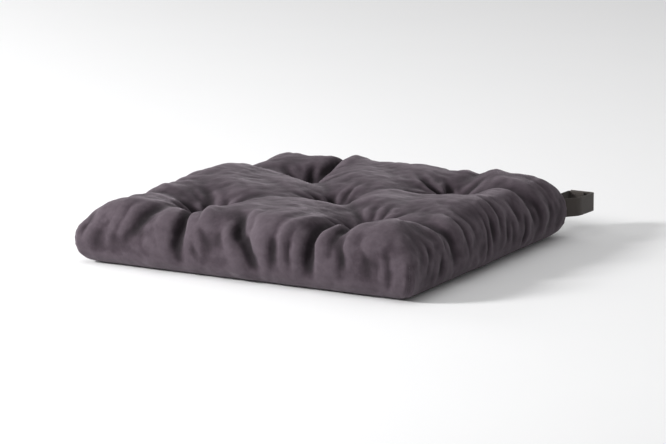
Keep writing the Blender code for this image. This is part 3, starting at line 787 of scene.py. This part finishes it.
STRANDS_APART = 0.0005  # each of a tuft's two threads, from its middle
LEG = 0.0030  # each leg inside the pad, from the middle
KNOT_RADIUS = 0.0011
for name, tuft in zip(TUFT_NAMES, TUFTS):
    bm = bmesh.new()
    tops = [cover_reach((tuft.x + s * BAR, tuft.y, 0.09), (0, 0, -1))[0].z for s in (-1, 0, 1)]
    base = hollow_under(*tuft) - PANEL_THICKNESS
    for k, aside in enumerate((-STRANDS_APART, STRANDS_APART)):
        # the bar in the hollow, which dips into the cloth at both ends
        left, middle, right = (Vector((tuft.x + s * BAR, tuft.y + aside, z))
                               for s, z in zip((-1, 0, 1), tops))
        middle.z = max(middle.z, (left.z + right.z) / 2 - 0.0006)
        bar = round_bend([left - Vector((-0.001, 0, 0.006)), left + Vector((-0.0002, 0, 0.0002)),
                          middle + Vector((0, 0, THREAD_RADIUS + 0.0001 * k)),
                          right + Vector((0.0002, 0, 0.0002)), right - Vector((0.001, 0, 0.006))], 8)
        # the leg down through the filling
        leg = [Vector((tuft.x + (LEG - 2 * LEG * k), tuft.y + aside, z))
               for z in np.linspace(tops[1] - 0.003, base + 0.0002, 20)]
        # the bar under the pad, where the two threads cross
        below = round_bend([Vector((tuft.x - 0.0048, tuft.y + aside, base + 0.0020)),
                            Vector((tuft.x - 0.0038, tuft.y + aside, base - 0.0004)),
                            Vector((tuft.x + 0.0038, tuft.y - aside, base - 0.0004)),
                            Vector((tuft.x + 0.0048, tuft.y - aside, base + 0.0020))], 8)
        for route in (bar, leg, below):
            swept(bm, stations(route, up=(0, 1, 0), turn=LAY), 8, plied)
    knot = [Vector((tuft.x + KNOT_RADIUS * math.cos(a), tuft.y + KNOT_RADIUS * math.sin(a),
                    base - 0.0006 + 0.0003 * math.sin(2 * a)))
            for a in np.linspace(0, 4 * math.pi, 40)]
    swept(bm, stations(knot, turn=LAY), 8, plied)
    bmesh.ops.recalc_face_normals(bm, faces=bm.faces[:])
    fitted(piece_of("tuft_" + name, bm, sewing_thread), "pad", "tuft_thread_" + name)


# Seams. The cover's edge and the panel's edge are sewn together all round, and the four corner darts are
# sewn up to the shoulder. The last 150 mm at the rear is shut by hand, with slanted whip stitches.
def stitch(bm, a, b, radius=0.00035):
    """One stitch: a plump grain of thread from a to b."""
    a, b = Vector(a), Vector(b)
    turn = (b - a).to_track_quat("Z", "Y").to_matrix().to_4x4()
    size = Matrix.Diagonal((radius, radius, (b - a).length * 0.54, 1))
    bmesh.ops.create_uvsphere(bm, u_segments=6, v_segments=5, radius=1,
                              matrix=Matrix.Translation((a + b) / 2) @ turn @ size)


def evenly(points, pitch):
    """Points a pitch apart along a route."""
    made, left = [], 0.0
    for a, b in zip(points, points[1:]):
        length = (b - a).length
        while left <= length:
            made.append(a.lerp(b, left / length) if length else a)
            left += pitch
        left -= length
    return made


def plan_point(u, v, inset, height):
    """A point of the pad's plan, at a height."""
    px, py, _ = plan_place(np.float64(u), np.float64(v), inset)
    return Vector((float(px), float(py), height))


CLOSING_WIDTH = 0.150
SEAM_PITCH, SEAM_HEIGHT = 0.0034, 0.0013
rim = [(k / 60 * 2 - 1) for k in range(61)]
outline = [(r, -1) for r in rim] + [(1, r) for r in rim] + [(-r, 1) for r in rim] + [(-1, -r) for r in rim]
seam, closing = bmesh.new(), bmesh.new()
spots = evenly([plan_point(*spot, PANEL_INSET - 0.0008, SEAM_HEIGHT) for spot in outline], SEAM_PITCH)
for a, b in zip(spots, spots[1:]):
    gap = (b - a) * 0.14
    if a.y > 0.1 and max(abs(a.x), abs(b.x)) < CLOSING_WIDTH / 2:
        stitch(closing, a + Vector((0, -0.0002, -0.0008)), b + Vector((0, 0.0012, 0.0011)), 0.00040)
    else:
        stitch(seam, a + gap, b - gap)
fitted(piece_of("base_seam", seam, sewing_thread), "pad", "base_seam_thread")
fitted(piece_of("closing_seam", closing, sewing_thread), "pad", "rear_closing_stitch")

DART_PITCH, DART_FOOT, DART_HEAD = 0.0030, 0.006, 0.040
for name, right, back in (("front_left", -1, -1), ("front_right", 1, -1),
                          ("rear_left", -1, 1), ("rear_right", 1, 1)):
    away = Vector((right, back, 0)).normalized()
    bm = bmesh.new()
    groove = []
    for height in np.linspace(DART_FOOT, DART_HEAD, 60):
        spot, normal = cover_reach(plan_point(right, back, 0, height) + away * 0.03, -away)
        if spot:
            groove.append(spot - normal * 0.00005)
    spots = evenly(groove, DART_PITCH)
    for a, b in zip(spots, spots[1:]):
        stitch(bm, a.lerp(b, 0.15), a.lerp(b, 0.85), 0.00028)
    fitted(piece_of("corner_seam_" + name, bm, sewing_thread), "pad", "corner_thread_" + name)


# Tabs. Two pairs of 20 mm brown grosgrain tape hold the pad to the chair's back posts. The outer tape is
# sewn into the corner seam and bends round behind the post, where its hooks close on the inner tape's loops.
TAPE_LOW, TAPE_HIGH = (c.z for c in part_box("right_hook_strap_run"))
TAPE_THICKNESS = 0.0015
RIB = 0.0011


def grosgrain(place, uv):
    """Ribbed tape in dark brown: warp threads along it, a rib of weft every millimetre."""
    x, y, _ = uv.parts()
    ribs = (x * (2 * math.pi / RIB)).math("SINE") * 0.5 + 0.5
    warp = (y * (2 * math.pi / 0.0007)).math("SINE") * 0.5 + 0.5
    patches = place.noise(90.0, 4, 0.6)
    fuzz = place.noise(1500.0, 2, 0.6)
    tone = ribs * 0.35 + warp * 0.2 + patches * 0.3 + fuzz * 0.15
    return dict(Base_Color=tone.mix((0.022, 0.017, 0.015), (0.085, 0.070, 0.062)),
                Roughness=0.62 + patches * 0.25, Normal=place.bump(warp * 0.6 + fuzz * 0.4, 0.5, 0.00025))


tab_tape = finish_of("brown_grosgrain", grosgrain, Sheen_Weight=0.25, Specular_IOR_Level=0.35)


def bent(points, radii, step=RIB / 3):
    """A flat route with its corners rounded, in even steps."""
    points = [Vector((*p, 0)) for p in points]
    made = [points[0]]
    for a, b, c, radius in zip(points, points[1:], points[2:], radii):
        back, on = (a - b).normalized(), (c - b).normalized()
        half = back.angle(on) / 2
        reach = min(radius / math.tan(half), (a - b).length * 0.49, (c - b).length * 0.49)
        start, end = b + back * reach, b + on * reach
        made += [start * (1 - s) ** 2 + b * 2 * s * (1 - s) + end * s ** 2 for s in np.linspace(0, 1, 13)]
    return evenly(made + [points[-1]], step) + [points[-1]]


def tape(name, route, k):
    """Tape on edge along a route in plan. Its ribs are modelled, and its two edges are a little thicker."""
    middle, half = (TAPE_LOW + TAPE_HIGH) / 2, (TAPE_HIGH - TAPE_LOW) / 2
    placed = []
    for i, matrix in enumerate(stations([p + Vector((0, 0, middle)) for p in route])):
        rib = 1 + 0.10 * math.sin(2 * math.pi * i / 3 + 0.5)
        placed.append(matrix @ Matrix.Diagonal((rib, 1, 1, 1)))

    def section(x, y):
        """A thin bar with round, slightly swollen edges, standing on edge."""
        up = math.copysign(abs(y) ** 0.62, y) * half
        edge = abs(up) / half
        thick = TAPE_THICKNESS / 2 * (0.90 + 0.16 * edge ** 6) * min(1, ((1 - edge) / 0.045 + 0.03) ** 0.5)
        return math.copysign(thick, x) if abs(x) > 1e-6 else 0.0, up

    bm = bmesh.new()
    swept(bm, placed, 28, section)
    uv_layer = bm.loops.layers.uv.new("cut")
    lengths = np.cumsum([0] + [(b - a).length for a, b in zip(route, route[1:])])
    flat = np.array([p[:2] for p in route])
    for face in bm.faces:
        for loop in face.loops:
            near = int(np.argmin(((flat - np.array(loop.vert.co[:2])) ** 2).sum(1)))
            loop[uv_layer].uv = (lengths[near], loop.vert.co.z)
    bmesh.ops.scale(bm, vec=(k, 1, 1), verts=bm.verts[:])
    bmesh.ops.recalc_face_normals(bm, faces=bm.faces[:])
    return piece_of(name, bm, tab_tape)


def nylon_hooks(place, uv):
    patches = place.noise(300.0)
    return dict(Base_Color=patches.mix((0.014, 0.012, 0.012), (0.040, 0.034, 0.032)),
                Roughness=0.35 + patches * 0.2, Normal=place.bump(place.noise(2500.0), 0.3, 0.0001))


def nylon_loops(place, uv):
    patches = place.noise(260.0, 4, 0.6)
    return dict(Base_Color=patches.mix((0.020, 0.016, 0.015), (0.062, 0.052, 0.047)),
                Roughness=0.75 + patches * 0.2, Normal=place.bump(place.noise(1800.0, 4, 0.7), 0.8, 0.0004))


hook_finish = finish_of("hook_nylon", nylon_hooks, Specular_IOR_Level=0.5)
loop_finish = finish_of("loop_nylon", nylon_loops, Sheen_Weight=0.4)
brown_thread = finish_of("brown_thread", waxed_thread((0.030, 0.023, 0.020), (0.110, 0.090, 0.080)),
                         Sheen_Weight=0.2, Specular_IOR_Level=0.4)


def backing(bm, low, high, y, thickness):
    """A patch's base: a thin plate with rounded corners, seen along Y."""
    before = set(bm.verts)
    bmesh.ops.create_grid(bm, x_segments=1, y_segments=1, size=0.5)
    plate = [v for v in bm.verts if v not in before]
    bmesh.ops.bevel(bm, geom=plate, offset=0.09, segments=4, profile=0.5, affect="VERTICES", material=-1)
    plate = [v for v in bm.verts if v not in before]
    for vert in plate:
        vert.co = (low[0] + (vert.co.x + 0.5) * (high[0] - low[0]), y,
                   low[2] + (vert.co.y + 0.5) * (high[2] - low[2]))
    faces = list({f for v in plate for f in v.link_faces})
    grown = bmesh.ops.extrude_face_region(bm, geom=faces)["geom"]
    bmesh.ops.translate(bm, vec=(0, thickness, 0),
                        verts=[g for g in grown if isinstance(g, bmesh.types.BMVert)])


PILE_MARGIN, PILE_HEIGHT, PILE_RADIUS = 0.0008, 0.0007, 0.00011


def pile(bm, low, high, y, toward, pitch, hooked):
    """Rows of tiny nylon hooks, or a tangle of tiny loops, standing from y along Y."""
    columns = int((high[0] - low[0] - 2 * PILE_MARGIN) / pitch)
    rows = int((high[2] - low[2] - 2 * PILE_MARGIN) / pitch)
    for i in range(columns + 1):
        for j in range(rows + 1):
            foot = Vector((low[0] + PILE_MARGIN + i * pitch, y, low[2] + PILE_MARGIN + j * pitch))
            lean = draw.uniform(0, 2 * math.pi) if not hooked else (0 if (i + j) % 2 else math.pi)
            spread = pitch * (0.45 if hooked else 0.62)
            aside = Vector((math.cos(lean), 0, math.sin(lean))) * spread
            up = Vector((0, toward, 0)) * PILE_HEIGHT
            route = [foot - aside * 0.2, foot + up * 0.75 - aside * 0.2, foot + up + aside * 0.3,
                     foot + up * (0.62 if hooked else 0.5) + aside * (0.9 if hooked else 1.0)]
            if not hooked:
                route.append(foot + aside * 1.1)
            swept(bm, stations(round_bend(route, 2), up=(0.31, 0.17, 0.93)), 4,
                  lambda x, y: (x * PILE_RADIUS, y * PILE_RADIUS))


def box_stitching(bm, low, high, y):
    """A rectangle of stitches on a tape's face."""
    corners = [Vector((low[0], y, low[2])), Vector((high[0], y, low[2])),
               Vector((high[0], y, high[2])), Vector((low[0], y, high[2]))]
    for a, b in zip(corners, corners[1:] + corners[:1]):
        count = max(3, round((b - a).length / 0.0023))
        for k in range(count):
            stitch(bm, a.lerp(b, (k + 0.14) / count), a.lerp(b, (k + 0.86) / count), 0.00026)


def bar_tack(bm, middle, away):
    """A dense zigzag of stitches up both faces of a tape's root. away points off the tape's face."""
    along = Vector((-away.y, away.x, 0)) * 0.0011
    for face in (-1, 1):
        spots = [middle + away * face * (TAPE_THICKNESS / 2 + 0.0001) + Vector((0, 0, z))
                 for z in np.linspace(-0.0092, 0.0092, 27)]
        for n, (a, b) in enumerate(zip(spots, spots[1:])):
            flip = 1 if n % 2 else -1
            stitch(bm, a + along * flip, b - along * flip, 0.00024)


def right_box(side, name):
    """A tab node's box, with a left one turned over to the right."""
    low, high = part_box(f"{side}_{name}")
    if side == "right":
        return low, high
    return Vector((-high.x, low.y, low.z)), Vector((-low.x, high.y, high.z))


ROOT_INSIDE = 0.0050  # how much tape is caught in the corner seam
LEAN_RUN = 0.0175  # the outer tape comes clear of the pad over this much depth
OUTER_BENDS, INNER_BEND = (0.016, 0.0024), 0.0022
SPLIT_Y = 0.190  # where the outer tape's two pieces meet, on its straight run
ROOT_FLEX, CORNER_FLEX = 0.0026, 0.0036  # tape each side of a fold
PATCH_BASE = 0.0004
for side, k in (("left", -1), ("right", 1)):
    tack_low, tack_high = right_box(side, "hook_root_tack")
    loop_tack_low, loop_tack_high = right_box(side, "loop_root_tack")
    end_low, end_high = right_box(side, "hook_strap_end")
    loop_low, loop_high = right_box(side, "loop_strap")
    root = ((tack_low + tack_high) / 2).to_2d()
    loop_root = ((loop_tack_low + loop_tack_high) / 2).to_2d()
    outer_x = right_box(side, "hook_strap_run")[1].x - TAPE_THICKNESS / 2
    hook_y = end_low.y + TAPE_THICKNESS / 2
    inner_x = loop_low.x + TAPE_THICKNESS / 2
    loop_y = loop_high.y - TAPE_THICKNESS / 2
    clear = Vector((outer_x, root.y + LEAN_RUN))
    lean = (clear - root).normalized()
    whole = bent([root - lean * ROOT_INSIDE, clear, (outer_x, hook_y), (end_low.x, hook_y)], OUTER_BENDS)
    split = next(i for i, p in enumerate(whole) if p.y > SPLIT_Y and p.x > outer_x - 0.001)
    run_tab = tape(side + "_outer_tab", whole[:split + 1], k)
    end_tab = tape(side + "_outer_tab_end", whole[split:], k)
    inner_tab = tape(side + "_inner_tab", bent([(inner_x, loop_root.y - 0.0065), (inner_x, loop_y),
                                                (loop_high.x, loop_y)], (INNER_BEND,)), k)

    for name, body, node, slot, finish in (
            ("hook_pile", "hook_end", "hook_patch", "hook_fastener", hook_finish),
            ("loop_pile", "loop_tab", "loop_patch", "loop_fastener", loop_finish),
            ("hook_sewing", "hook_end", "hook_stitching", "sewing_thread", brown_thread),
            ("loop_sewing", "loop_tab", "loop_stitching", "sewing_thread", brown_thread),
            ("outer_bar_tack", "pad", "hook_root_tack", "sewing_thread", brown_thread),
            ("inner_bar_tack", "pad", "loop_root_tack", "sewing_thread", brown_thread)):
        low, high = right_box(side, node)
        bm = bmesh.new()
        if name == "hook_pile":
            backing(bm, low, high, high.y - PATCH_BASE, PATCH_BASE)
            pile(bm, low, high, high.y - PATCH_BASE, -1, 0.0011, True)
        elif name == "loop_pile":
            backing(bm, low, high, low.y, PATCH_BASE)
            pile(bm, low, high, low.y + PATCH_BASE, 1, 0.0009, False)
        elif name == "hook_sewing":
            box_stitching(bm, low, high, low.y - 0.0001)
        elif name == "loop_sewing":
            box_stitching(bm, low, high, high.y + 0.0001)
        else:
            away = Vector((1, 0.35, 0)).normalized() if name == "outer_bar_tack" else Vector((-1, 0, 0))
            bar_tack(bm, (low + high) / 2, away)
        bmesh.ops.scale(bm, vec=(k, 1, 1), verts=bm.verts[:])
        bmesh.ops.recalc_face_normals(bm, faces=bm.faces[:])
        fitted(piece_of(f"{side}_{name}", bm, finish), "pad" if body == "pad" else f"{side}_{body}",
               f"{side}_{node}")

    for piece, node, body, onto, start, end in (
            (run_tab, "hook_strap_run", "pad", f"{side}_hook_run", root - lean * ROOT_FLEX,
             root + lean * ROOT_FLEX),
            (end_tab, "hook_strap_end", f"{side}_hook_run", f"{side}_hook_end",
             (outer_x, hook_y - CORNER_FLEX), (outer_x - CORNER_FLEX, hook_y)),
            (inner_tab, "loop_strap", "pad", f"{side}_loop_tab", (inner_x, loop_root.y - ROOT_FLEX),
             (inner_x, loop_root.y + ROOT_FLEX))):
        k * start[0]
        k * end[0]
        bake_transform(piece)
        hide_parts(f"{side}_{node}")


# Care label. A blank white satin ribbon is caught in the rear seam, and lies on the floor behind the pad.
# Its free end curls up a little at the middle.
def satin(place, uv):
    """Satin ribbon: fine floats across it, and a soft gloss."""
    x, _, _ = uv.parts()
    floats = (x * (2 * math.pi / 0.0004)).math("SINE") * 0.5 + 0.5
    patches = place.noise(120.0)
    return dict(Base_Color=(floats * 0.4 + patches * 0.6).mix((0.66, 0.65, 0.62), (0.78, 0.77, 0.74)),
                Roughness=0.36 + patches * 0.2, Normal=place.bump(floats, 0.2, 0.0001))


LABEL_LOW, LABEL_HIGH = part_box("care_label")
bm = bmesh.new()
bmesh.ops.create_grid(bm, x_segments=18, y_segments=40, size=0.5)
for vert in bm.verts:
    across, along = vert.co.x, vert.co.y + 0.5
    x = LABEL_LOW.x + (across + 0.5) * (LABEL_HIGH.x - LABEL_LOW.x)
    y = LABEL_LOW.y - 0.004 + along * (LABEL_HIGH.y - LABEL_LOW.y + 0.004)
    fall = 0.0014 * math.sin(along * math.pi * 0.5)
    curl = 0.0009 * along ** 3 * (1 - 4 * across * across)
    ripple = 0.0005 * math.sin(along * 9) * (across + 0.5)
    vert.co = (x, y, max(0.0024 - fall + curl + ripple, 0.0004))
flat_weave(bm)
label = piece_of("blank_care_label", bm, finish_of("white_satin", satin, Sheen_Weight=0.3))
wall = label.modifiers.new("Thickness", "SOLIDIFY")
wall.thickness, wall.offset = 0.0003, 0
fitted(label, "pad", "care_label")


# Last, the view layer is brought up to date.
bpy.context.view_layer.update()
